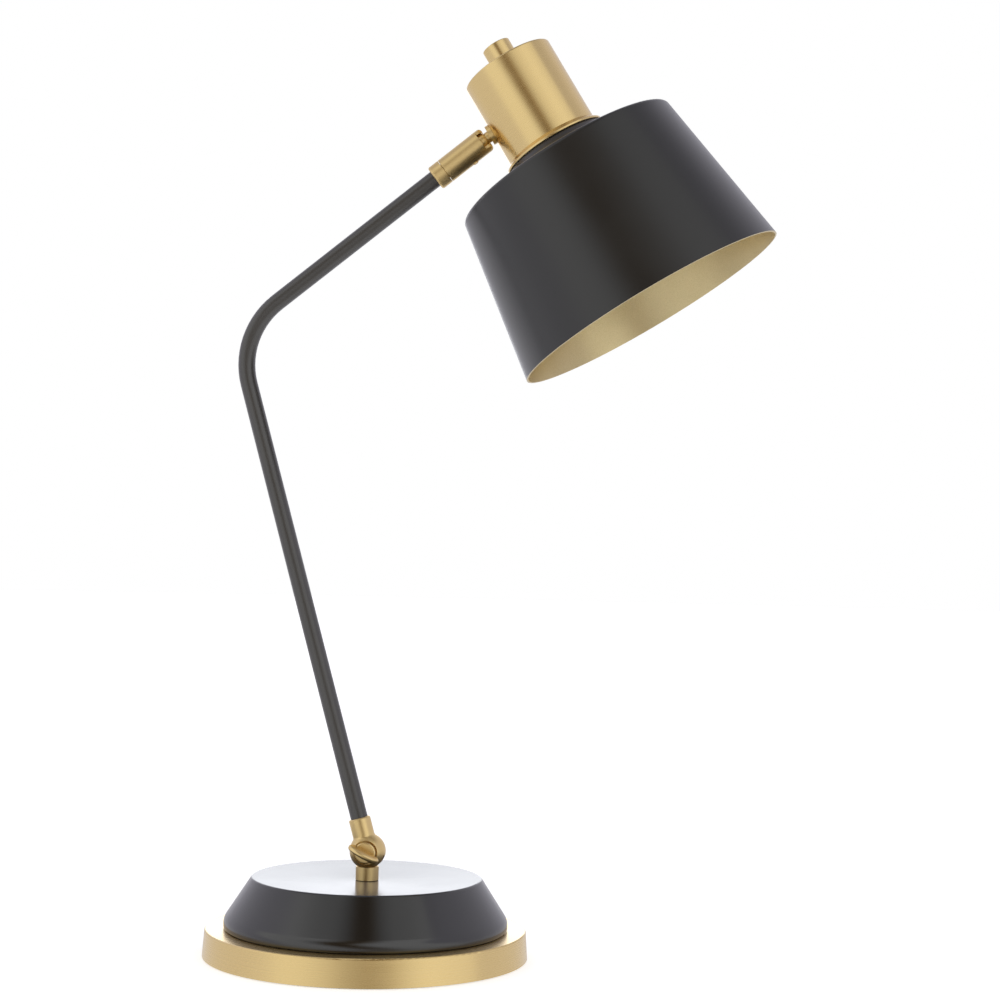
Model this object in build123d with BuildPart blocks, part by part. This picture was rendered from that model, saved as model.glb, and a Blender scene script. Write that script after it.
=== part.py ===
"""Task lamp with a round base, a bent arm on a ball knuckle and a shade on a swivel with a ball end.

Millimetres, +Z up. The origin is the centre of the foot pad's underside. The arm bends in the XZ
plane, with the shade towards +X and the wing screw's wing towards -Y.
"""
from math import acos, atan2, cos, degrees, radians, sin, sqrt, tan
import os

from build123d import *

# Clearances
fit_gap = 0.05          # radial gap of shafts, screws and tubes in their holes
free_gap = 0.3          # gap between rounded faces that pass each other

# Base
plate_diameter = 180.0
plate_height = 15.0
plate_draft = 1.1       # how much smaller the plate's radius is at its top
plate_wall = 1.5
plate_edge = 0.9
pad_thickness = 1.8
pad_proud = 0.6         # how far the pad stands below the plate's rim
pad_inset = 1.0
cover_height = 28.1
cover_margin = 10.2     # plate shown round the cover's foot
cover_band = 5.3        # height at which the cone would meet the upright band
cover_lean = 33.1       # degrees that the cover's side leans from vertical
cover_wall = 1.2
cover_dish = 1.8        # how far the cover's top falls to its middle
cover_seat = 1.4        # flat shown round the post's foot
cover_dish_round = 3.0
cover_top_round = 1.6
cover_turn_round = 8.0
cover_foot_round = 1.6
cover_lip = 4.0
weight_gap = 0.6
nut_recess_radius = 20.0
nut_recess_depth = 9.0
rod_diameter = 8.0
rod_bore = 5.2
rod_tail = 1.2          # rod shown below its nut
rod_nut_width = 13.0
rod_nut_height = 4.5
rod_washer_diameter = 24.0
rod_washer_height = 1.5
bush_diameter = 8.0
bush_bore = 5.2
bush_collar = 10.0
bush_collar_height = 0.8
bush_inner = 3.0
bush_channel_gap = 1.0

# Post and ball knuckle
post_diameter = 12.8
post_foot_chamfer = 0.3
ball_diameter = 20.2
post_tongue_width = 5.0
post_tongue_radius = 6.4
post_neck_width = 8.0
post_rim_drop = 0.22    # flat left on the post's rim, as a drop below the sharp edge
rod_in_post = 4.8
post_web = 0.85         # post left between the rod and the ball's seat
washer_height = 0.6
screw_diameter = 5.0
boss_diameter = 11.8
boss_ring_gap = 0.85
boss_length = 4.7
cheek_wall = 1.9        # ball material between the slot and the boss or nut
swing_back = 35.0       # degrees that the arm tips away from the shade
swing_out = 50.0        # degrees that the arm tips towards the shade
swing_spare = 3.0       # degrees that the slot opens beyond them
knuckle_nut_width = 8.0
knuckle_nut_height = 3.4
knuckle_nut_gap = 0.1
collar_diameter = 12.2
collar_length = 8.8     # from the ball's surface
collar_chamfer = 0.6
collar_fillet = 1.8     # hollow between the collar and the ball
collar_socket = 7.0
wire_bore = 5.0
wing_span = 18.4
wing_depth = 12.6
wing_sink = 2.8         # how far the wing is let into the boss
wing_thickness = 3.0
wing_round = 1.2
wing_turn = -27.0       # degrees about the screw's axis

# Arm
arm_lean = 15.94        # lower run, degrees from vertical, away from the shade
arm_rise = 38.36        # upper run, degrees above horizontal
lower_run = 299.1       # ball centre to the bend's virtual corner
bend_radius = 44.0
tube_diameter = 9.6
tube_wall = 0.9

# Swivel and its ball end, along the upper run from the bend's virtual corner
ferrule_start = 142.2
ferrule_length = 6.9
ferrule_wall = 2.1      # ferrule left between the tube's end and the seam
ferrule_round = 1.2
seam_gap = 0.2
swivel_diameter = 14.2
swivel_chamfer = 0.15
swivel_round = 2.0      # round of the prongs' outer edge
spigot_diameter = 9.0
spigot_length = 19.7
groove_inset = 3.2      # retaining groove, from the spigot's end
groove_depth = 1.2
screw_proud = 0.4
swivel_screw_diameter = 2.9
socket_web = 1.4
prong_length = 4.0
prong_gap = 8.0
swivel_ball_diameter = 9.2
socket_gap = 0.1        # radial gap of the swivel's ball in its socket
ball_beyond_slot = 0.5  # ball's centre beyond the slot's floor
ball_back = 3.0         # flat at the ball's back, from its centre
rivet_diameter = 5.6
rivet_height = 1.2
rivet_recess = 1.4
stem_pin_diameter = 4.4
stem_diameter = 6.4
stem_bore = 2.8
stem_length = 7.3       # ball's centre to the cup's wall

# Head, along the cup's axis from the cup's top
head_pitch = 31.5       # degrees that the cup's axis leans from vertical
cup_diameter = 53.1
cup_length = 50.2
cup_wall = 1.2
cup_edge = 1.0
stud_drop = 28.9        # stud's axis below the cup's top
stud_collar_diameter = 11.4
stud_collar_height = 1.9
stud_diameter = 8.0
stud_bore = 4.6
stud_nut_width = 13.0
stud_nut_height = 3.5
stud_washer_diameter = 13.0
stud_washer_height = 1.5
stud_tail = 0.5
flange_overhang = 3.2
flange_height = 3.6
flange_edge = 1.2       # height of its outer edge, below the flare
flange_round = 0.4

# Shade, outer surface, along the cup's axis from the cup's top
shade_wall = 1.0
hole_gap = 0.4          # radial gap round the lampholder
neck_inset = 0.75       # neck's edge inside the flange's edge
neck_lean = 41.4        # degrees that the neck's side leans from the axis
neck_height = 5.1
neck_round = 0.8
neck_flare = 7.0
shoulder_slope = 11.5   # degrees that the top cone falls from level
shoulder_round = 2.4
rim_radius = 79.5
shade_height = 105.0
shade_flare = 8.6       # half angle of the shade's wall

# Lampholder, switch and bulb
holder_gap = 1.85       # between the lampholder's shoulder and the cup
holder_clear = 1.85     # between the lampholder and the stud's end
holder_shoulder_height = 3.5
holder_skirt_radius = 19.9
holder_skirt_length = 25.8
holder_body_length = 10.7
holder_floor = 4.0
holder_cap_length = 12.0
holder_cap_wall = 2.0
shell_radius = 14.0
shell_wall = 0.5
shell_lift = 4.0
shell_length = 26.0
contact_radius = 4.0
contact_height = 1.4
contact_nub = 1.6
ring_nut_height = 5.2
ring_nut_gap = 3.5     # between the ring nut and the shade's neck
switch_radius = 11.0
switch_length = 12.5
bushing_radius = 4.7
bushing_rise = 5.0
switch_nut_height = 2.2
shaft_radius = 3.0
shaft_depth = 8.0
knob_diameter = 16.4
knob_cap = 2.3          # knob left above the shaft
knob_gap = 0.6
knob_wall = 1.2
knob_nut_gap = 0.6
knob_recess_gap = 1.2   # between the bushing's end and the recess's floor
knob_bore_depth = 4.5
knob_edge = 0.5
bulb_gap = 0.2
bulb_tip_height = 1.6
bulb_neck_length = 7.0
bulb_radius = 30.0
bulb_reach = 42.0       # globe's centre beyond the shell's end
bulb_wall = 1.0
bulb_tip_radius = 4.5

# Heights of the base stack
ball_radius = ball_diameter / 2
seat_radius = ball_radius + free_gap
plate_rim = pad_proud
plate_top = plate_rim + plate_height
cover_top = plate_top + cover_height
post_foot = cover_top - cover_dish
ball_z = post_foot + rod_in_post + post_web + seat_radius
plate_radius = plate_diameter / 2
plate_top_radius = plate_radius - plate_draft
weight_top = plate_top - plate_wall
recess_ceiling = pad_thickness + nut_recess_depth
washer_z = recess_ceiling - rod_washer_height
nut_z = washer_z - rod_nut_height
rod_bottom = nut_z - rod_tail
rod_top = post_foot + rod_in_post
rod_radius = rod_diameter / 2
bush_z = plate_rim + plate_height / 2

# Knuckle sizes
ball_centre = Vector(0, 0, ball_z)
post_radius = post_diameter / 2
post_rim_z = ball_z - sqrt(seat_radius ** 2 - post_radius ** 2) - post_rim_drop
slot_half = post_tongue_width / 2 + washer_height + fit_gap
screw_radius = screw_diameter / 2
cheek_outer = slot_half + cheek_wall
counterbore_radius = boss_diameter / 2 + boss_ring_gap
collar_top = ball_radius + collar_length

# Swivel places along the upper run
swivel_radius = swivel_diameter / 2
spigot_radius = spigot_diameter / 2
swivel_ball_radius = swivel_ball_diameter / 2
socket_radius = swivel_ball_radius + socket_gap
ferrule_socket = ferrule_length - ferrule_wall
seam = ferrule_start + ferrule_length
sleeve_start = seam + seam_gap
groove_at = seam + spigot_length - groove_inset
bore_end = seam + spigot_length + free_gap
joint_run = bore_end + socket_web + socket_radius
slot_floor = joint_run - ball_beyond_slot
sleeve_end = slot_floor + prong_length

# Frames: y is +Y in each, z runs along the piece
lean = radians(arm_lean)
rise = radians(arm_rise)
pitch = radians(head_pitch)
lower_way = Vector(-sin(lean), 0, cos(lean))
upper_way = Vector(cos(rise), 0, sin(rise))
cup_way = Vector(sin(pitch), 0, -cos(pitch))
stud_way = Vector(-cos(pitch), 0, -sin(pitch))
bend_corner = ball_centre + lower_way * lower_run
joint_centre = bend_corner + upper_way * joint_run
wall_point = joint_centre + upper_way * stem_length
cup_radius = cup_diameter / 2
cup_origin = wall_point - stud_way * cup_radius - cup_way * stud_drop
knuckle_frame = Plane(ball_centre, x_dir=Vector(cos(lean), 0, sin(lean)), z_dir=lower_way)
knuckle_axis = Axis(ball_centre, lower_way)
upper_frame = Plane(bend_corner, x_dir=Vector(sin(rise), 0, -cos(rise)), z_dir=upper_way)
upper_axis = Axis(bend_corner, upper_way)
joint_frame = upper_frame.offset(joint_run)
groove_frame = Plane(bend_corner + upper_way * groove_at, x_dir=(0, 1, 0), z_dir=upper_frame.x_dir)
head_frame = Plane(cup_origin, x_dir=stud_way, z_dir=cup_way)
stud_frame = Plane(cup_origin + cup_way * stud_drop, x_dir=(0, 1, 0), z_dir=stud_way)
head_section = Plane(cup_origin, x_dir=stud_way, z_dir=stud_way.cross(cup_way))
head_axis = Axis(cup_origin, cup_way)
wing_frame = Plane(
    ball_centre,
    x_dir=Vector(cos(radians(wing_turn)), 0, sin(radians(wing_turn))),
    z_dir=Vector(-sin(radians(wing_turn)), 0, cos(radians(wing_turn))),
)

across = (90, 0, 0)     # turns a cylinder from z to y
sideways = (0, 90, 0)   # turns a cylinder from z to x
rest_up = (Align.CENTER, Align.CENTER, Align.MIN)

# Foot pad
with BuildPart() as foot_pad:
    Cylinder(plate_radius - plate_wall - pad_inset, pad_thickness, align=rest_up)

# Brass plate, an open pan with a hole for the rod and one for the cord bush
with BuildPart() as base_plate:
    with BuildSketch(Plane.XZ) as plate_section:
        with BuildLine():
            Polyline(
                (plate_radius, plate_rim),
                (plate_top_radius, plate_top),
                (rod_radius + fit_gap, plate_top),
                (rod_radius + fit_gap, plate_top - plate_wall),
                (plate_top_radius - plate_wall, plate_top - plate_wall),
                (plate_radius - plate_wall, plate_rim),
                close=True,
            )
        make_face()
        fillet(plate_section.vertices().sort_by_distance((plate_top_radius, plate_top))[0], plate_edge)
    revolve(axis=Axis.Z)
    with Locations((-plate_radius, 0, bush_z)):
        Cylinder(bush_diameter / 2 + fit_gap, 4 * plate_wall, rotation=sideways, mode=Mode.SUBTRACT)

# Cast weight inside the plate, with a recess for the nut and a channel for the cord
with BuildPart() as base_weight:
    with Locations((0, 0, pad_thickness)):
        Cylinder(plate_top_radius - plate_wall - weight_gap, weight_top - pad_thickness, align=rest_up)
        Cylinder(nut_recess_radius, nut_recess_depth, align=rest_up, mode=Mode.SUBTRACT)
        Box(
            plate_radius,
            bush_collar + 2 * bush_channel_gap,
            bush_z + bush_diameter / 2 + bush_channel_gap - pad_thickness,
            align=(Align.MAX, Align.CENTER, Align.MIN),
            mode=Mode.SUBTRACT,
        )
    Cylinder(rod_radius + fit_gap, 3 * weight_top, mode=Mode.SUBTRACT)

# Black coned cover with a dished top, a spun sheet that turns into an upright band and a small lip
cover_foot_radius = plate_top_radius - cover_margin
cover_top_radius = cover_foot_radius - (cover_height - cover_band) * tan(radians(cover_lean))
with BuildPart() as base_cover:
    with BuildSketch(Plane.XZ):
        with BuildLine():
            FilletPolyline(
                (rod_radius + fit_gap, post_foot),
                (post_radius + cover_seat, post_foot),
                (cover_top_radius, cover_top),
                (cover_foot_radius, plate_top + cover_band),
                (cover_foot_radius, plate_top),
                (cover_foot_radius - cover_foot_round - cover_lip, plate_top),
                radius=[cover_dish_round, cover_top_round, cover_turn_round, cover_foot_round],
            )
            offset(amount=cover_wall, side=Side.RIGHT)
        make_face()
    revolve(axis=Axis.Z)

# Hollow rod with its nut and washer, which clamps the base together
with BuildPart() as stem_rod:
    with Locations((0, 0, rod_bottom)):
        Cylinder(rod_radius, rod_top - rod_bottom, align=rest_up)
        Cylinder(rod_bore / 2, rod_top - rod_bottom, align=rest_up, mode=Mode.SUBTRACT)

with BuildPart() as rod_washer:
    with Locations((0, 0, washer_z)):
        Cylinder(rod_washer_diameter / 2, rod_washer_height, align=rest_up)
        Cylinder(rod_radius + fit_gap, rod_washer_height, align=rest_up, mode=Mode.SUBTRACT)

with BuildPart() as rod_nut:
    with BuildSketch(Plane.XY.offset(nut_z)):
        RegularPolygon(rod_nut_width / 2, 6, major_radius=False)
        Circle(rod_radius + fit_gap, mode=Mode.SUBTRACT)
    extrude(amount=rod_nut_height)

# Bush where the cord enters the plate, at the back
bush_face = plate_radius - plate_draft * (bush_z - bush_collar / 2 - plate_rim) / plate_height
with BuildPart() as cord_bush:
    with BuildSketch(Plane.XZ) as bush_section:
        with BuildLine():
            Polyline(
                (-bush_face - bush_collar_height, bush_z + bush_bore / 2),
                (-bush_face - bush_collar_height, bush_z + bush_collar / 2),
                (-bush_face - fit_gap, bush_z + bush_collar / 2),
                (-bush_face - fit_gap, bush_z + bush_diameter / 2),
                (-bush_face + plate_wall + bush_inner, bush_z + bush_diameter / 2),
                (-bush_face + plate_wall + bush_inner, bush_z + bush_bore / 2),
                close=True,
            )
        make_face()
    revolve(axis=Axis((0, 0, bush_z), (1, 0, 0)))

# Post with a hollowed top and the tongue that the ball turns on
with BuildPart() as post:
    with Locations((0, 0, post_foot)):
        Cylinder(post_radius, post_rim_z - post_foot, align=rest_up)
    chamfer(post.edges().group_by(Axis.Z)[0], post_foot_chamfer)
    with Locations(ball_centre):
        Sphere(seat_radius, mode=Mode.SUBTRACT)
        Cylinder(post_tongue_radius, post_tongue_width, rotation=across)
    with Locations((0, 0, rod_top)):
        Box(post_neck_width, post_tongue_width, ball_z - rod_top, align=rest_up)
    with Locations(ball_centre):
        Cylinder(screw_radius + 2 * fit_gap, 2 * post_tongue_width, rotation=across, mode=Mode.SUBTRACT)
    with Locations((0, 0, post_foot)):
        Cylinder(rod_radius + fit_gap, rod_in_post, align=rest_up, mode=Mode.SUBTRACT)

# Ball knuckle with its collar, boss recess, nut pocket and a slot, which is open below as far as the
# post's neck travels
neck_half = post_neck_width / 2 + free_gap
slot_reach = 2 * ball_radius
open_back = radians(swing_back + arm_lean + swing_spare)
open_out = radians(swing_out - arm_lean + swing_spare)
with BuildPart(knuckle_frame) as arm_knuckle:
    Cylinder(collar_diameter / 2, collar_top, align=rest_up)
    chamfer(arm_knuckle.edges().sort_by(knuckle_axis)[-1], collar_chamfer)
    Sphere(ball_radius)
    fillet(arm_knuckle.edges().filter_by(GeomType.CIRCLE).sort_by(knuckle_axis)[-3], collar_fillet)
    Cylinder(post_tongue_radius + free_gap, 2 * slot_half, rotation=across, mode=Mode.SUBTRACT)
    with BuildSketch(Plane(ball_centre, x_dir=knuckle_frame.x_dir, z_dir=(0, -1, 0))):
        with BuildLine():
            Polyline(
                (neck_half * cos(open_out), neck_half * sin(open_out)),
                (
                    neck_half * cos(open_out) + slot_reach * sin(open_out),
                    neck_half * sin(open_out) - slot_reach * cos(open_out),
                ),
                (0, -2 * slot_reach),
                (
                    -neck_half * cos(open_back) - slot_reach * sin(open_back),
                    neck_half * sin(open_back) - slot_reach * cos(open_back),
                ),
                (-neck_half * cos(open_back), neck_half * sin(open_back)),
                close=True,
            )
        make_face()
    extrude(amount=slot_half, both=True, mode=Mode.SUBTRACT)
    Cylinder(wire_bore / 2, collar_top, align=rest_up, mode=Mode.SUBTRACT)
    with Locations((0, 0, collar_top - collar_socket)):
        Cylinder(tube_diameter / 2 + fit_gap, collar_socket, align=rest_up, mode=Mode.SUBTRACT)
    Cylinder(screw_radius + fit_gap, 3 * ball_radius, rotation=across, mode=Mode.SUBTRACT)
    with Locations((0, -cheek_outer, 0)):
        Cylinder(counterbore_radius, ball_radius, align=rest_up, rotation=across, mode=Mode.SUBTRACT)
    with BuildSketch(Plane(ball_centre + Vector(0, cheek_outer, 0), x_dir=lower_way, z_dir=(0, 1, 0))):
        RegularPolygon(knuckle_nut_width / 2 + knuckle_nut_gap, 6, major_radius=False)
    extrude(amount=ball_radius, mode=Mode.SUBTRACT)

with BuildPart() as knuckle_nut:
    with BuildSketch(Plane(ball_centre + Vector(0, cheek_outer, 0), x_dir=lower_way, z_dir=(0, 1, 0))):
        RegularPolygon(knuckle_nut_width / 2, 6, major_radius=False)
        Circle(screw_radius + fit_gap, mode=Mode.SUBTRACT)
    extrude(amount=knuckle_nut_height)

with BuildPart(knuckle_frame) as knuckle_washers:
    with Locations((0, slot_half - washer_height / 2, 0), (0, washer_height / 2 - slot_half, 0)):
        Cylinder(post_tongue_radius, washer_height, rotation=across)
    Cylinder(screw_radius + fit_gap, 4 * slot_half, rotation=across, mode=Mode.SUBTRACT)

# Wing screw: an oval wing with rounded edges on a boss and shank
shank_end = cheek_outer + knuckle_nut_height
boss_start = cheek_outer + fit_gap
wing_reach = boss_start + boss_length - wing_sink + wing_depth
with BuildPart() as wing_blade:
    with BuildSketch(wing_frame):
        with Locations((0, wing_depth / 2 - wing_reach)):
            Ellipse(wing_span / 2, wing_depth / 2)
    extrude(amount=wing_thickness / 2, both=True)
    fillet(wing_blade.edges().filter_by(GeomType.ELLIPSE), wing_round)

with BuildPart() as wing_screw:
    with Locations(ball_centre - Vector(0, boss_start, 0)):
        Cylinder(boss_diameter / 2, boss_length, align=rest_up, rotation=across)
    fillet(wing_screw.edges().filter_by(GeomType.CIRCLE).sort_by(Axis.Y)[0], boss_ring_gap)
    with Locations(ball_centre + Vector(0, shank_end, 0)):
        Cylinder(screw_radius, shank_end + boss_start, align=rest_up, rotation=across)
    add(wing_blade.part)

# Bent tube
tube_start = ball_centre + lower_way * (collar_top - collar_socket)
tube_end = bend_corner + upper_way * (ferrule_start + ferrule_socket)
with BuildPart() as arm_tube:
    with BuildLine():
        FilletPolyline(tube_start, bend_corner, tube_end, radius=bend_radius)
    with BuildSketch(Plane(tube_start, x_dir=(0, 1, 0), z_dir=lower_way)):
        Circle(tube_diameter / 2)
        Circle(tube_diameter / 2 - tube_wall, mode=Mode.SUBTRACT)
    sweep()

# Ferrule on the tube's end, with the spigot that the sleeve swivels on
with BuildPart(upper_frame) as arm_ferrule:
    with Locations((0, 0, ferrule_start)):
        Cylinder(swivel_radius, ferrule_length, align=rest_up)
    fillet(arm_ferrule.edges().filter_by(GeomType.CIRCLE).sort_by(upper_axis)[0], ferrule_round)
    chamfer(arm_ferrule.edges().filter_by(GeomType.CIRCLE).sort_by(upper_axis)[-1], swivel_chamfer)
    with Locations((0, 0, seam)):
        Cylinder(spigot_radius, spigot_length, align=rest_up)
    with Locations((0, 0, groove_at)):
        Cylinder(spigot_radius, swivel_screw_diameter + 2 * free_gap, mode=Mode.SUBTRACT)
        Cylinder(spigot_radius - groove_depth, swivel_screw_diameter + 2 * free_gap)
    with Locations((0, 0, ferrule_start)):
        Cylinder(tube_diameter / 2 + fit_gap, ferrule_socket, align=rest_up, mode=Mode.SUBTRACT)
        Cylinder(wire_bore / 2, seam + spigot_length, align=rest_up, mode=Mode.SUBTRACT)

# Swivelling sleeve: two prongs, one above and one below a slot, hold a ball in a round socket.
# The prongs' ends are rounded about the ball's tilt axis, clear of the collar on the cup.
stem_bend = rise - pitch
collar_radius = stud_collar_diameter / 2
collar_face = stem_length * cos(stem_bend) - stud_collar_height
collar_low = collar_face * cos(stem_bend) - (collar_radius - stem_length * sin(stem_bend)) * sin(stem_bend)
prong_radius = collar_low - free_gap
with BuildPart() as swivel_clevis:
    with BuildSketch(upper_frame.offset(sleeve_start)):
        Circle(swivel_radius)
    extrude(amount=sleeve_end - sleeve_start)
    chamfer(swivel_clevis.edges().filter_by(GeomType.CIRCLE).sort_by(upper_axis)[0], swivel_chamfer)
    fillet(swivel_clevis.edges().filter_by(GeomType.CIRCLE).sort_by(upper_axis)[-1], swivel_round)
    with BuildSketch(upper_frame.offset(slot_floor)):
        Rectangle(prong_gap, 2 * swivel_diameter)
    extrude(amount=2 * prong_length, mode=Mode.SUBTRACT)
    with BuildSketch(Plane(joint_centre, x_dir=(0, 1, 0), z_dir=upper_frame.x_dir)):
        with Locations((0, -ball_beyond_slot)):
            Rectangle(2 * swivel_diameter, 2 * prong_length, align=(Align.CENTER, Align.MIN))
        Circle(prong_radius, mode=Mode.SUBTRACT)
    extrude(amount=swivel_diameter, both=True, mode=Mode.SUBTRACT)
    with Locations(joint_centre):
        Sphere(socket_radius, mode=Mode.SUBTRACT)
    with BuildSketch(upper_frame.offset(sleeve_start)):
        Circle(spigot_radius + fit_gap)
    extrude(amount=bore_end - sleeve_start, mode=Mode.SUBTRACT)
    with BuildSketch(upper_frame.offset(bore_end)):
        Circle(wire_bore / 2)
    extrude(amount=socket_web + socket_radius, mode=Mode.SUBTRACT)
    with BuildSketch(groove_frame):
        Circle(swivel_screw_diameter / 2)
    extrude(amount=swivel_diameter, mode=Mode.SUBTRACT)

# Retaining screw of the swivel, on the sleeve's underside, with its tip in the spigot's groove
screw_tip = spigot_radius - groove_depth + free_gap
with BuildPart() as swivel_screw:
    with BuildSketch(groove_frame.offset(screw_tip)):
        Circle(swivel_screw_diameter / 2)
    extrude(amount=swivel_radius + screw_proud - screw_tip)

# Ball of the swivel, bored for the stem's pin, with a recess for the pin's riveted end
stem_radius = stem_diameter / 2
stem_pin_radius = stem_pin_diameter / 2
ball_front = sqrt(swivel_ball_radius ** 2 - stem_radius ** 2)
recess_floor = ball_back - rivet_recess
with BuildPart(joint_frame) as swivel_ball:
    Sphere(swivel_ball_radius)
    with Locations((0, 0, -ball_back)):
        Cylinder(swivel_ball_diameter, ball_back + ball_front, align=rest_up, mode=Mode.INTERSECT)
        Cylinder(rivet_diameter / 2 + fit_gap, rivet_recess, align=rest_up, mode=Mode.SUBTRACT)
    Cylinder(stem_pin_radius + fit_gap, 2 * swivel_ball_diameter, mode=Mode.SUBTRACT)

# Tongue: a stem that turns in the ball, with a round collar and a hollow stud through the cup's wall
stud_end = cup_radius - cup_wall - stud_washer_height - stud_nut_height - stud_tail
rivet_end = recess_floor + fit_gap + rivet_height
with BuildPart() as head_tongue:
    with BuildSketch(joint_frame.offset(-rivet_end)):
        Circle(rivet_diameter / 2)
    extrude(amount=rivet_height)
    with BuildSketch(joint_frame.offset(-rivet_end)):
        Circle(stem_pin_radius)
    extrude(amount=rivet_end + ball_front + fit_gap)
    with BuildSketch(joint_frame.offset(ball_front + fit_gap)):
        Circle(stem_radius)
    extrude(amount=stem_length - ball_front)
    with BuildSketch(stud_frame.offset(cup_radius - cup_wall)):
        Circle(collar_radius)
    extrude(amount=cup_wall + stud_collar_height)
    with BuildSketch(head_frame):
        Circle(cup_radius + fit_gap)
    extrude(amount=cup_length, mode=Mode.SUBTRACT)
    with BuildSketch(stud_frame.offset(stud_end)):
        Circle(stud_diameter / 2)
    extrude(amount=cup_radius + stud_collar_height - stud_end)
    with BuildSketch(stud_frame.offset(stud_end)):
        Circle(stud_bore / 2)
    extrude(amount=cup_radius - stud_end, mode=Mode.SUBTRACT)
    with BuildSketch(joint_frame.offset(-rivet_end)):
        Circle(stem_bore / 2)
    extrude(amount=rivet_end + stem_length + stud_collar_height, mode=Mode.SUBTRACT)

# Saddle washer and nut on the stud, inside the cup
washer_face = cup_radius - cup_wall - stud_washer_height
with BuildPart(head_frame) as tongue_washer:
    Cylinder(cup_radius - cup_wall - fit_gap, cup_length, align=rest_up)
    with Locations((washer_face, 0, stud_drop)):
        Cylinder(
            stud_washer_diameter / 2,
            2 * stud_washer_height,
            align=rest_up,
            rotation=sideways,
            mode=Mode.INTERSECT,
        )
        Cylinder(
            stud_diameter / 2 + fit_gap,
            4 * stud_washer_height,
            rotation=sideways,
            mode=Mode.SUBTRACT,
        )

with BuildPart() as tongue_nut:
    with BuildSketch(stud_frame.offset(washer_face)):
        RegularPolygon(stud_nut_width / 2, 6, major_radius=False)
        Circle(stud_diameter / 2 + fit_gap, mode=Mode.SUBTRACT)
    extrude(amount=-stud_nut_height)

# Brass cup with holes for the switch's bushing and the stud
with BuildPart(head_frame) as socket_cup:
    Cylinder(cup_radius, cup_length, align=rest_up)
    fillet(socket_cup.edges().sort_by(head_axis)[0], cup_edge)
    with Locations((0, 0, cup_wall)):
        Cylinder(cup_radius - cup_wall, cup_length, align=rest_up, mode=Mode.SUBTRACT)
    Cylinder(bushing_radius + fit_gap, 4 * cup_wall, mode=Mode.SUBTRACT)
    with Locations((cup_radius, 0, stud_drop)):
        Cylinder(stud_diameter / 2 + fit_gap, cup_radius, rotation=sideways, mode=Mode.SUBTRACT)

# Flared brass ring under the cup
flange_radius = cup_radius + flange_overhang
flange_end = cup_length + flange_height
with BuildPart() as cup_flange:
    with BuildSketch(head_section) as flange_section:
        with BuildLine():
            Polyline(
                (holder_skirt_radius + fit_gap, cup_length),
                (cup_radius, cup_length),
                (flange_radius, flange_end - flange_edge),
                (flange_radius, flange_end),
                (holder_skirt_radius + fit_gap, flange_end),
                close=True,
            )
        make_face()
        fillet(flange_section.vertices().sort_by_distance((flange_radius, flange_end))[:2], flange_round)
    revolve(axis=head_axis)

# Shade, a spun sheet: flat seat, flared neck, top cone, rounded shoulder and flared wall
shade_top = flange_end
shade_hole = holder_skirt_radius + hole_gap
neck_radius = flange_radius - neck_inset
neck_foot = shade_top + neck_height
rim_drop = shade_top + shade_height
neck_foot_radius = neck_radius + (neck_foot - shade_top) * tan(radians(neck_lean))
slope = tan(radians(shoulder_slope))
flare = tan(radians(shade_flare))
wall_at_neck_foot = rim_radius - (rim_drop - neck_foot) * flare
shoulder_run = (wall_at_neck_foot - neck_foot_radius) / (1 - slope * flare)
shoulder_radius = neck_foot_radius + shoulder_run
shoulder_drop = neck_foot + shoulder_run * slope
with BuildPart() as shade:
    with BuildSketch(head_section):
        with BuildLine():
            FilletPolyline(
                (shade_hole, shade_top),
                (neck_radius, shade_top),
                (neck_foot_radius, neck_foot),
                (shoulder_radius, shoulder_drop),
                (rim_radius, rim_drop),
                radius=[neck_round, neck_flare, shoulder_round],
            )
            offset(amount=shade_wall, side=Side.LEFT)
        make_face()
    revolve(axis=head_axis)

# Ring nut that clamps the shade to the lampholder
ring_nut_start = shade_top + shade_wall
ring_nut_radius = neck_radius - shade_wall - ring_nut_gap
with BuildPart(head_frame) as shade_ring_nut:
    with Locations((0, 0, ring_nut_start)):
        Cylinder(ring_nut_radius, ring_nut_height, align=rest_up)
        Cylinder(holder_skirt_radius + fit_gap, ring_nut_height, align=rest_up, mode=Mode.SUBTRACT)

# Lampholder: cap, body with skirt, screw shell and centre contact
holder_body_radius = stud_end - holder_clear
holder_shoulder_radius = cup_radius - cup_wall - holder_gap
shoulder_start = cup_length - holder_shoulder_height
holder_top = shoulder_start - holder_body_length
holder_cap_top = holder_top - holder_cap_length
holder_skirt_end = cup_length + holder_skirt_length
cavity_floor = holder_top + holder_floor
shell_start = cavity_floor + shell_lift
shell_end = shell_start + shell_length
with BuildPart(head_frame) as lampholder_cap:
    with Locations((0, 0, holder_cap_top)):
        Cylinder(holder_body_radius, holder_top - holder_cap_top, align=rest_up)
    fillet(lampholder_cap.edges().sort_by(head_axis)[0], holder_cap_wall)
    with Locations((0, 0, holder_cap_top + holder_cap_wall)):
        Cylinder(
            holder_body_radius - holder_cap_wall,
            holder_top - holder_cap_top,
            align=rest_up,
            mode=Mode.SUBTRACT,
        )
    with Locations((0, 0, holder_cap_top)):
        Cylinder(wire_bore / 2, 4 * holder_cap_wall, mode=Mode.SUBTRACT)

with BuildPart(head_frame) as lampholder_body:
    with Locations((0, 0, holder_top)):
        Cylinder(holder_body_radius, shoulder_start - holder_top, align=rest_up)
    with Locations((0, 0, shoulder_start)):
        Cylinder(holder_shoulder_radius, holder_shoulder_height, align=rest_up)
    with Locations((0, 0, cup_length)):
        Cylinder(holder_skirt_radius, holder_skirt_end - cup_length, align=rest_up)
    with Locations((0, 0, cavity_floor)):
        Cylinder(shell_radius + fit_gap, holder_skirt_end - cavity_floor, align=rest_up, mode=Mode.SUBTRACT)

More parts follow.
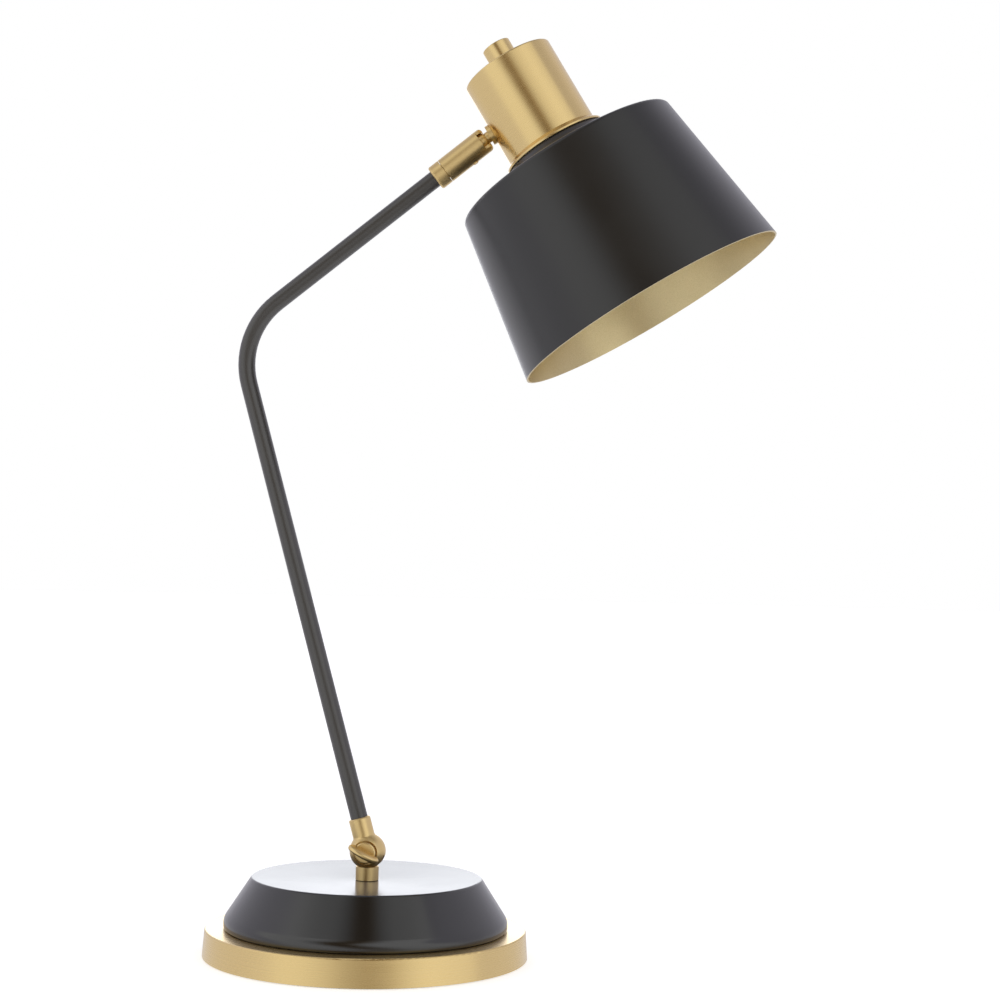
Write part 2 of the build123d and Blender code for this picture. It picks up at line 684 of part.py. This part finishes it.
with BuildPart(head_frame) as lampholder_shell:
    with Locations((0, 0, shell_start)):
        Cylinder(shell_radius, shell_end - shell_start, align=rest_up)
        Cylinder(shell_radius - shell_wall, shell_end - shell_start, align=rest_up, mode=Mode.SUBTRACT)

with BuildPart(head_frame) as lampholder_contact:
    with Locations((0, 0, cavity_floor)):
        Cylinder(contact_radius, contact_height, align=rest_up)
        Cylinder(contact_radius / 2, contact_height + contact_nub, align=rest_up)

# Rotary switch under the cup's top, its nut, and the knob on its shaft
knob_recess_radius = knob_diameter / 2 - knob_wall
knob_recess_depth = bushing_rise - knob_gap + knob_recess_gap
switch_nut_radius = knob_recess_radius - knob_nut_gap
shaft_top = knob_gap + knob_recess_depth + knob_bore_depth
knob_top = shaft_top + knob_cap
with BuildPart(head_frame) as switch_body:
    with Locations((0, 0, cup_wall)):
        Cylinder(switch_radius, switch_length, align=rest_up)
    with Locations((0, 0, -bushing_rise)):
        Cylinder(bushing_radius, bushing_rise + cup_wall, align=rest_up)
        Cylinder(
            shaft_radius + fit_gap, bushing_rise + shaft_depth + free_gap, align=rest_up, mode=Mode.SUBTRACT
        )

with BuildPart(head_frame) as switch_nut:
    with Locations((0, 0, -switch_nut_height)):
        Cylinder(switch_nut_radius, switch_nut_height, align=rest_up)
        Cylinder(bushing_radius + fit_gap, switch_nut_height, align=rest_up, mode=Mode.SUBTRACT)

with BuildPart(head_frame) as switch_shaft:
    with Locations((0, 0, -shaft_top)):
        Cylinder(shaft_radius, shaft_top + shaft_depth, align=rest_up)

with BuildPart(head_frame) as switch_knob:
    with Locations((0, 0, -knob_top)):
        Cylinder(knob_diameter / 2, knob_top - knob_gap, align=rest_up)
    fillet(switch_knob.edges().filter_by(GeomType.CIRCLE), knob_edge)
    with Locations((0, 0, -knob_gap - knob_recess_depth)):
        Cylinder(knob_recess_radius, knob_recess_depth, align=rest_up, mode=Mode.SUBTRACT)
    with Locations((0, 0, -shaft_top)):
        Cylinder(shaft_radius + fit_gap, shaft_top, align=rest_up, mode=Mode.SUBTRACT)

# Bulb: screw cap and globe
contact_end = cavity_floor + contact_height + contact_nub
bulb_cap_radius = shell_radius - shell_wall - bulb_gap
bulb_cap_start = contact_end + bulb_tip_height
bulb_neck_end = shell_end + bulb_neck_length
bulb_centre = shell_end + bulb_reach
with BuildPart(head_frame) as bulb_cap:
    with Locations((0, 0, bulb_cap_start)):
        Cylinder(bulb_cap_radius, shell_end - bulb_cap_start, align=rest_up)
    with Locations((0, 0, contact_end)):
        Cylinder(bulb_tip_radius, bulb_cap_start - contact_end, align=rest_up)

neck_reach = sqrt(bulb_cap_radius ** 2 + (bulb_centre - bulb_neck_end) ** 2)
globe_start = degrees(acos(bulb_radius / neck_reach) - atan2(bulb_centre - bulb_neck_end, bulb_cap_radius))
with BuildPart() as bulb_globe:
    with BuildSketch(head_section):
        with BuildLine():
            globe_arc = CenterArc((0, bulb_centre), bulb_radius, globe_start, 90 - globe_start)
            Polyline(
                globe_arc @ 0,
                (bulb_cap_radius, bulb_neck_end),
                (bulb_cap_radius, shell_end),
                (bulb_cap_radius - bulb_wall, shell_end),
                (bulb_cap_radius - bulb_wall, bulb_neck_end),
            )
            inner_arc = CenterArc((0, bulb_centre), bulb_radius - bulb_wall, globe_start, 90 - globe_start)
            Line((bulb_cap_radius - bulb_wall, bulb_neck_end), inner_arc @ 0)
            Line(inner_arc @ 1, globe_arc @ 1)
        make_face()
    revolve(axis=head_axis)

pieces = {
    "foot_pad": foot_pad,
    "base_plate": base_plate,
    "base_weight": base_weight,
    "base_cover": base_cover,
    "stem_rod": stem_rod,
    "rod_washer": rod_washer,
    "rod_nut": rod_nut,
    "cord_bush": cord_bush,
    "post": post,
    "arm_knuckle": arm_knuckle,
    "knuckle_nut": knuckle_nut,
    "knuckle_washers": knuckle_washers,
    "wing_screw": wing_screw,
    "arm_tube": arm_tube,
    "arm_ferrule": arm_ferrule,
    "swivel_clevis": swivel_clevis,
    "swivel_screw": swivel_screw,
    "swivel_ball": swivel_ball,
    "head_tongue": head_tongue,
    "tongue_washer": tongue_washer,
    "tongue_nut": tongue_nut,
    "socket_cup": socket_cup,
    "cup_flange": cup_flange,
    "shade": shade,
    "shade_ring_nut": shade_ring_nut,
    "lampholder_cap": lampholder_cap,
    "lampholder_body": lampholder_body,
    "lampholder_shell": lampholder_shell,
    "lampholder_contact": lampholder_contact,
    "switch_body": switch_body,
    "switch_nut": switch_nut,
    "switch_shaft": switch_shaft,
    "switch_knob": switch_knob,
    "bulb_cap": bulb_cap,
    "bulb_globe": bulb_globe,
}

os.makedirs("parts", exist_ok=True)
for name, piece in pieces.items():
    piece.part.label = name
    export_step(piece.part, f"parts/{name}.step")
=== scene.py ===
from math import cos, pi, radians, sin

import bpy
from mathutils import Matrix, Vector

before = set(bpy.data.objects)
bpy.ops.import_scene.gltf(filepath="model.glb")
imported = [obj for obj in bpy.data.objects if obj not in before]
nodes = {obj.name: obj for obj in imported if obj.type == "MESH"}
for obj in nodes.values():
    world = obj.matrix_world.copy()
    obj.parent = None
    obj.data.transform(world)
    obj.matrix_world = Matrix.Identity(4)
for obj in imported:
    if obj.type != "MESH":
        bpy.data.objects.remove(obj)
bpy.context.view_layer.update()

scene = bpy.context.scene

# Directions and centres of the lamp, in metres; the arm bends in the XZ plane
lean, rise, pitch = radians(15.94), radians(38.36), radians(31.5)
ball_height = 0.05795
lower_run = 0.2991      # knuckle's ball to the arm's corner
upper_run = 0.1752      # corner to the swivel's ball
stem_run = 0.0073       # swivel's ball to the cup's wall
wall_offset = 0.02655   # cup's wall to its axis
stem_drop = 0.0289      # cup's top to the stem, along the axis
foot = (0, 0, 0)
across = Vector((0, 1, 0))
up = Vector((0, 0, 1))
lower_way = Vector((-sin(lean), 0, cos(lean)))
upper_way = Vector((cos(rise), 0, sin(rise)))
cup_way = Vector((sin(pitch), 0, -cos(pitch)))
wall_way = Vector((cos(pitch), 0, sin(pitch)))
ball = Vector((0, 0, ball_height))
corner = ball + lower_way * lower_run
swivel = corner + upper_way * upper_run
cup_top = swivel + upper_way * stem_run + wall_way * wall_offset - cup_way * stem_drop


# Helpers that build node trees
class Nodes:
    """A node tree, and what adds nodes to it."""

    def __init__(self, tree):
        self.tree = tree

    def node(self, kind, **settings):
        n = self.tree.nodes.new(kind)
        for k, v in settings.items():
            setattr(n, k, v)
        return n

    def put(self, socket, value):
        if isinstance(value, bpy.types.NodeSocket):
            self.tree.links.new(value, socket)
        else:
            socket.default_value = value

    def math(self, op, a, b=0.0):
        n = self.node("ShaderNodeMath", operation=op)
        self.put(n.inputs[0], a)
        self.put(n.inputs[1], b)
        return n.outputs[0]

    def vec(self, op, a, b=None):
        n = self.node("ShaderNodeVectorMath", operation=op)
        self.put(n.inputs[0], a)
        if b is not None:
            self.put(n.inputs[1], b)
        return n.outputs["Value" if op == "DOT_PRODUCT" else "Vector"]


class Mat(Nodes):
    """A principled material with noises in the object's own coordinates."""

    def __init__(self, name):
        self.mat = bpy.data.materials.new(name)
        self.mat.use_nodes = True
        super().__init__(self.mat.node_tree)
        self.bsdf = self.tree.nodes["Principled BSDF"]
        self.where = self.node("ShaderNodeTexCoord").outputs["Object"]

    def set(self, **values):
        for k, v in values.items():
            self.put(self.bsdf.inputs[k.replace("_", " ")], v)

    def noise(self, vector, scale=1.0, detail=2.0, rough=0.5):
        n = self.node("ShaderNodeTexNoise")
        self.put(n.inputs["Vector"], vector)
        n.inputs["Scale"].default_value = scale
        n.inputs["Detail"].default_value = detail
        n.inputs["Roughness"].default_value = rough
        return n.outputs["Fac"]

    def weigh(self, *shares):
        """Weighted sum of noises, given as (noise, weight)."""
        (value, weight), *rest = shares
        first = self.math("MULTIPLY", value, weight)
        return self.math("ADD", first, self.weigh(*rest)) if rest else first

    def span(self, value, low, high, from_low=0.25, from_high=0.75):
        """Stretch a noise's usual range over the values from low to high."""
        n = self.node("ShaderNodeMapRange")
        self.put(n.inputs["Value"], value)
        for k, v in (("From Min", from_low), ("From Max", from_high), ("To Min", low), ("To Max", high)):
            n.inputs[k].default_value = v
        return n.outputs["Result"]

    def blend(self, factor, a, b):
        """Colour between a and b."""
        n = self.node("ShaderNodeMix", data_type="RGBA")
        self.put(n.inputs["Factor"], factor)
        self.put(n.inputs[6], (*a, 1.0))
        self.put(n.inputs[7], (*b, 1.0))
        return n.outputs[2]

    def bump(self, height, distance, strength):
        n = self.node("ShaderNodeBump")
        n.inputs["Strength"].default_value = strength
        n.inputs["Distance"].default_value = distance
        self.put(n.inputs["Height"], height)
        return n.outputs["Normal"]

    def turned(self, origin, axis):
        """Place about an axis (along it, from it, round it), and the direction round it."""
        axis = Vector(axis).normalized()
        side = axis.cross(across).normalized()
        third = axis.cross(side)
        p = self.vec("SUBTRACT", self.where, tuple(origin))
        along = self.vec("DOT_PRODUCT", p, tuple(axis))
        a = self.vec("DOT_PRODUCT", p, tuple(side))
        b = self.vec("DOT_PRODUCT", p, tuple(third))
        angle = self.math("ARCTAN2", b, a)
        squares = self.math("ADD", self.math("MULTIPLY", a, a), self.math("MULTIPLY", b, b))
        radius = self.math("SQRT", squares)
        round_way = self.vec("NORMALIZE", self.vec("CROSS_PRODUCT", tuple(axis), p))
        return (along, radius, angle), round_way

    def lines(self, place, fineness, turns, detail, rough):
        """Noise drawn out into lines round an axis."""
        n = self.node("ShaderNodeCombineXYZ")
        for socket, value, scale in zip(n.inputs, place, (fineness, fineness, turns)):
            self.put(socket, self.math("MULTIPLY", value, scale))
        return self.noise(n.outputs[0], detail=detail, rough=rough)


# Materials
brass_deep, brass_light = (0.77, 0.57, 0.26), (0.83, 0.63, 0.3)
round_the_axis = 0.25   # turn of the anisotropy that draws highlights along the tangent


def brass(name, origin, axis, rough=0.27, spun=0.7, brushed=0.25):
    """Satin brass, brushed in fine lines round an axis."""
    m = Mat(name)
    place, round_way = m.turned(origin, axis)
    fine = m.lines(place, fineness=4200, turns=5, detail=3.0, rough=0.6)
    broad = m.lines(place, fineness=900, turns=2, detail=2.0, rough=0.5)
    cloud = m.noise(m.where, scale=38.0)
    tone = m.weigh((fine, 0.5), (broad, 0.3), (cloud, 0.2))
    m.set(Base_Color=m.blend(m.span(tone, 0.0, 1.0, 0.2, 0.8), brass_deep, brass_light),
          Metallic=1.0, Roughness=m.span(tone, rough - 0.03, rough + 0.04, 0.3, 0.7),
          Anisotropic=spun, Anisotropic_Rotation=round_the_axis, Tangent=round_way)
    m.set(Normal=m.bump(m.math("ADD", fine, m.math("MULTIPLY", broad, 0.6)), 0.000008, brushed))
    return m.mat


def paint(name, low, high, rough, gloss=0.95, haze=0.1):
    """Satin near-black paint with a faint orange-peel, and a soft haze at grazing angles."""
    m = Mat(name)
    peel = m.noise(m.where, scale=900.0, rough=0.45)
    cloud = m.noise(m.where, scale=22.0, detail=3.0, rough=0.55)
    speck = m.noise(m.where, scale=3500.0, detail=1.0)
    m.set(Base_Color=m.blend(m.span(cloud, 0.0, 1.0), low, high),
          Roughness=m.span(m.weigh((cloud, 0.6), (speck, 0.4)), rough - 0.03, rough + 0.03, 0.3, 0.7),
          IOR=1.5, Specular_IOR_Level=gloss,
          Sheen_Weight=haze, Sheen_Roughness=0.35, Sheen_Tint=(0.92, 0.92, 1.0, 1.0))
    m.set(Normal=m.bump(peel, 0.00001, 0.15))
    return m.mat


def gold_paint(name):
    """Satin champagne-gold paint with fine metal flakes."""
    m = Mat(name)
    flake = m.noise(m.where, scale=2600.0, rough=0.7)
    cloud = m.noise(m.where, scale=30.0)
    tone = m.weigh((flake, 0.7), (cloud, 0.3))
    m.set(Base_Color=m.blend(m.span(tone, 0.0, 1.0, 0.3, 0.7), (0.56, 0.455, 0.235), (0.78, 0.66, 0.4)),
          Metallic=0.85, Roughness=m.span(flake, 0.28, 0.4, 0.3, 0.7))
    m.set(Normal=m.bump(flake, 0.00003, 0.3))
    return m.mat


def steel(name, origin, axis):
    """Plain turned steel."""
    m = Mat(name)
    place, round_way = m.turned(origin, axis)
    lines = m.lines(place, fineness=3600, turns=4, detail=3.0, rough=0.6)
    m.set(Base_Color=m.blend(m.span(lines, 0.0, 1.0), (0.42, 0.42, 0.42), (0.6, 0.6, 0.59)),
          Metallic=1.0, Roughness=m.span(lines, 0.24, 0.38),
          Anisotropic=0.4, Anisotropic_Rotation=round_the_axis, Tangent=round_way)
    m.set(Normal=m.bump(lines, 0.00002, 0.3))
    return m.mat


def plastic(name, low, high):
    """Moulded plastic with a fine grain."""
    m = Mat(name)
    grain = m.noise(m.where, scale=2200.0, detail=3.0, rough=0.6)
    cloud = m.noise(m.where, scale=60.0)
    m.set(Base_Color=m.blend(m.span(cloud, 0.0, 1.0), low, high), Roughness=m.span(grain, 0.42, 0.58))
    m.set(Normal=m.bump(grain, 0.00006, 0.4))
    return m.mat


def felt(name):
    """Black felt: matted fibres."""
    m = Mat(name)
    fibre = m.noise(m.vec("MULTIPLY", m.where, (900, 2600, 900)), detail=4.0, rough=0.7)
    cross = m.noise(m.vec("MULTIPLY", m.where, (2600, 900, 900)), detail=4.0, rough=0.7)
    nap = m.math("MAXIMUM", fibre, cross)
    m.set(Base_Color=m.blend(m.span(nap, 0.0, 1.0, 0.35, 0.75), (0.012, 0.012, 0.013), (0.05, 0.05, 0.052)),
          Roughness=0.95, Specular_IOR_Level=0.2, Sheen_Weight=0.35, Sheen_Roughness=0.5)
    m.set(Normal=m.bump(nap, 0.0003, 0.7))
    return m.mat


def cast_iron(name):
    """Grey iron with a coarse cast grain."""
    m = Mat(name)
    grain = m.noise(m.where, scale=700.0, detail=5.0, rough=0.6)
    m.set(Base_Color=m.blend(m.span(grain, 0.0, 1.0), (0.05, 0.05, 0.05), (0.11, 0.108, 0.105)),
          Metallic=0.6, Roughness=m.span(grain, 0.55, 0.75))
    m.set(Normal=m.bump(grain, 0.0003, 0.6))
    return m.mat


def frosted(name):
    """Frosted white glass of a lamp bulb."""
    m = Mat(name)
    frost = m.noise(m.where, scale=1600.0, detail=3.0, rough=0.6)
    m.set(Base_Color=m.blend(m.span(frost, 0.0, 1.0), (0.82, 0.82, 0.8), (0.9, 0.9, 0.885)),
          Roughness=m.span(frost, 0.28, 0.4), IOR=1.5, Subsurface_Weight=0.25, Subsurface_Scale=0.004)
    m.set(Normal=m.bump(frost, 0.00003, 0.3))
    return m.mat


black_low, black_high = (0.0035, 0.0032, 0.0028), (0.006, 0.0054, 0.0048)
tube_low, tube_high = (0.028, 0.025, 0.022), (0.036, 0.033, 0.029)
finish = {
    brass("brass_turned_upright", foot, up): "base_plate",
    brass("brass_turned_post", foot, up, rough=0.33, brushed=0.1): "post",
    brass("brass_turned_lower", ball, lower_way, rough=0.33, brushed=0.1): "arm_knuckle",
    brass("brass_wing", ball, across, rough=0.34, spun=0.2, brushed=0.1): "wing_screw",
    brass("brass_turned_upper", corner, upper_way, rough=0.42, brushed=0.1):
        "arm_ferrule swivel_clevis swivel_screw swivel_ball head_tongue",
    brass("brass_turned_head", cup_top, cup_way, brushed=0.1):
        "socket_cup cup_flange switch_knob lampholder_shell lampholder_contact",
    paint("black_paint", black_low, black_high, rough=0.31, gloss=0.74, haze=0.22): "shade",
    paint("black_paint_cover", black_low, black_high, rough=0.18): "base_cover",
    paint("black_paint_tube", tube_low, tube_high, rough=0.32, haze=0.35): "arm_tube",
    steel("steel_upright", foot, up): "stem_rod rod_washer rod_nut",
    steel("steel_across_ball", ball, across): "knuckle_nut knuckle_washers",
    steel("steel_head", cup_top, cup_way): "tongue_washer tongue_nut switch_nut switch_shaft",
    plastic("black_plastic", (0.014, 0.014, 0.015), (0.022, 0.022, 0.022)):
        "cord_bush lampholder_cap lampholder_body shade_ring_nut switch_body",
    felt("black_felt"): "foot_pad",
    cast_iron("cast_iron"): "base_weight",
    frosted("frosted_glass"): "bulb_globe",
    steel("bulb_cap_metal", cup_top, cup_way): "bulb_cap",
}
for material, names in finish.items():
    for name in names.split():
        nodes[name].data.materials.clear()
        nodes[name].data.materials.append(material)

# The shade's inner faces and rim carry the gold paint
rim_facing = 0.6
shade_mesh = nodes["shade"].data
shade_mesh.materials.append(gold_paint("gold_paint"))
for face in shade_mesh.polygons:
    from_top = face.center - cup_top
    outwards = from_top - cup_way * from_top.dot(cup_way)
    gold = face.normal.dot(outwards) < 0 or face.normal.dot(cup_way) > rim_facing
    face.material_index = 1 if gold else 0

# Floor
floor_radius = 9.0
floor_glow = 0.55
bpy.ops.mesh.primitive_circle_add(vertices=96, radius=floor_radius, fill_type="NGON", location=foot)
floor = bpy.context.object
floor.name = "floor"
fm = Mat("pale_floor")
grain = fm.noise(fm.where, scale=3.0)
fm.set(Base_Color=fm.blend(fm.span(grain, 0.0, 1.0), (0.9, 0.9, 0.9), (0.93, 0.93, 0.93)), Roughness=0.85,
       Emission_Color=(1, 1, 1, 1), Emission_Strength=floor_glow)
# Reflections look past the floor into the studio
seen_by = fm.node("ShaderNodeLightPath")
clear = fm.node("ShaderNodeBsdfTransparent")
either = fm.node("ShaderNodeMixShader")
fm.put(either.inputs[0], seen_by.outputs["Is Glossy Ray"])
fm.put(either.inputs[1], fm.bsdf.outputs[0])
fm.put(either.inputs[2], clear.outputs[0])
fm.put(fm.tree.nodes["Material Output"].inputs["Surface"], either.outputs[0])
floor.data.materials.append(fm.mat)

# Studio light
world = bpy.data.worlds.new("studio")
scene.world = world
world.use_nodes = True
world.node_tree.nodes.clear()
studio = Nodes(world.node_tree)


def ramp(value, stops, low, high):
    """Colour by a value, from stops given as (value, colour)."""
    share = studio.node("ShaderNodeMapRange")
    share.inputs["From Min"].default_value = low
    share.inputs["From Max"].default_value = high
    studio.put(share.inputs["Value"], value)
    n = studio.node("ShaderNodeValToRGB")
    elements = n.color_ramp.elements
    while len(elements) < len(stops):
        elements.new(0.5)
    for element, (at, colour) in zip(elements, stops):
        element.position = (at - low) / (high - low)
        element.color = (*colour, 1)
    studio.put(n.inputs["Fac"], share.outputs["Result"])
    return n.outputs["Color"]


def fade(value, low, high, most, a, b):
    """Colour a, going towards the plain colour b by the share most as the value goes from low to high."""
    share = studio.node("ShaderNodeMapRange", interpolation_type="SMOOTHSTEP")
    for k, v in (("From Min", low), ("From Max", high), ("To Max", most)):
        share.inputs[k].default_value = v
    studio.put(share.inputs["Value"], value)
    n = studio.node("ShaderNodeMix", data_type="RGBA")
    studio.put(n.inputs["Factor"], share.outputs["Result"])
    studio.put(n.inputs[6], a)
    n.inputs[7].default_value = (*b, 1)
    return n.outputs[2]


# Soft boxes stand each side of the camera, with a dim gap between them.
# The gap leans: by height of direction, its middle is at these degrees from -Y towards +X.
gap_reach = 30
gap = [(-1, 24), (-0.17, 24), (-0.02, 18), (0.1, 2), (0.2, -7), (0.45, -14), (0.56, -5), (0.62, 1),
       (0.73, 8), (1, 10)]
# Degrees from the gap's middle, brightness and tint; colours are stored as shares of the brightest
white, cool, dim, pale = (1, 1, 1), (0.98, 0.96, 1.07), (1, 0.68, 0.36), (0.96, 0.98, 1.03)
brightest = 2.5
ring = [(-180, 0.72, cool), (-84, 0.74, cool), (-72, 1.0, white), (-34, 0.98, white), (-20, 0.6, white),
        (-9, 0.24, dim), (0, 0.14, dim), (8, 0.26, dim), (20, 0.74, white), (32, 1.04, white),
        (70, 1.08, white), (75, 0.68, cool), (180, 0.72, cool)]
low_from, low_to, low_share, low_level = -0.08, 0.12, 0.45, 0.8
high_from, high_to, high_share = 0.66, 0.8, 0.38
# A round light stands behind the lamp
back_turn, back_rise = radians(-170), radians(9)
back_core, back_edge, back_level = radians(9), radians(17), 2.1
back_way = (sin(back_turn) * cos(back_rise), -cos(back_turn) * cos(back_rise), sin(back_rise))

way = studio.node("ShaderNodeTexCoord").outputs["Generated"]
split = studio.node("ShaderNodeSeparateXYZ")
studio.put(split.inputs[0], way)
height = split.outputs["Z"]
gap_share = ramp(height, [(z, ((a + gap_reach) / (2 * gap_reach),) * 3) for z, a in gap], -1, 1)
middle = studio.math("MULTIPLY", studio.math("SUBTRACT", gap_share, 0.5), radians(2 * gap_reach))
around = studio.math("ARCTAN2", split.outputs["X"], studio.math("MULTIPLY", split.outputs["Y"], -1.0))
ring_stops = [(radians(a), tuple(level * c / brightest for c in tint)) for a, level, tint in ring]
light = ramp(studio.math("SUBTRACT", around, middle), ring_stops, -pi, pi)
depth = studio.math("MULTIPLY", height, -1.0)
light = fade(depth, low_from, low_to, low_share, light, (low_level / brightest,) * 3)
light = fade(height, high_from, high_to, high_share, light, (0, 0, 0))
facing = studio.vec("DOT_PRODUCT", way, back_way)
back_light = tuple(back_level * c / brightest for c in pale)
light = fade(facing, cos(back_edge), cos(back_core), 1.0, light, back_light)

# The lamp sees the soft boxes, and the camera sees a plain white backdrop
studio_light = studio.node("ShaderNodeBackground")
studio_light.inputs["Strength"].default_value = brightest
studio.put(studio_light.inputs["Color"], light)
backdrop = studio.node("ShaderNodeBackground")
backdrop.inputs["Color"].default_value = (1, 1, 1, 1)
path = studio.node("ShaderNodeLightPath")
pick = studio.node("ShaderNodeMixShader")
studio.put(pick.inputs[0], path.outputs["Is Camera Ray"])
studio.put(pick.inputs[1], studio_light.outputs[0])
studio.put(pick.inputs[2], backdrop.outputs[0])
world_out = studio.node("ShaderNodeOutputWorld")
studio.put(world_out.inputs["Surface"], pick.outputs[0])

# Camera at the photograph's view
turn, yaw, tip, roll = radians(10.163), radians(3.476), radians(1.545), radians(1.266)
eye_distance, eye_height = 1.14316, 0.22408
focal_px, photo_px = 2041.5, 1000
sensor = 36.0
eye = Vector((eye_distance * sin(turn), -eye_distance * cos(turn), eye_height))
level_ahead, level_right = Vector((-sin(turn), cos(turn), 0)), Vector((cos(turn), sin(turn), 0))
yawed_ahead = level_ahead * cos(yaw) + level_right * sin(yaw)
yawed_right = level_right * cos(yaw) - level_ahead * sin(yaw)
cam_ahead = yawed_ahead * cos(tip) + up * sin(tip)
tipped_up = up * cos(tip) - yawed_ahead * sin(tip)
cam_right = yawed_right * cos(roll) + tipped_up * sin(roll)
cam_up = tipped_up * cos(roll) - yawed_right * sin(roll)
cam_data = bpy.data.cameras.new("camera")
cam_data.sensor_width = sensor
cam_data.lens = focal_px / photo_px * sensor
cam_data.clip_start = 0.01
cam = bpy.data.objects.new("camera", cam_data)
scene.collection.objects.link(cam)
cam.matrix_world = Matrix((
    (cam_right.x, cam_up.x, -cam_ahead.x, eye.x),
    (cam_right.y, cam_up.y, -cam_ahead.y, eye.y),
    (cam_right.z, cam_up.z, -cam_ahead.z, eye.z),
    (0, 0, 0, 1),
))
scene.camera = cam
scene.view_settings.view_transform = "Standard"
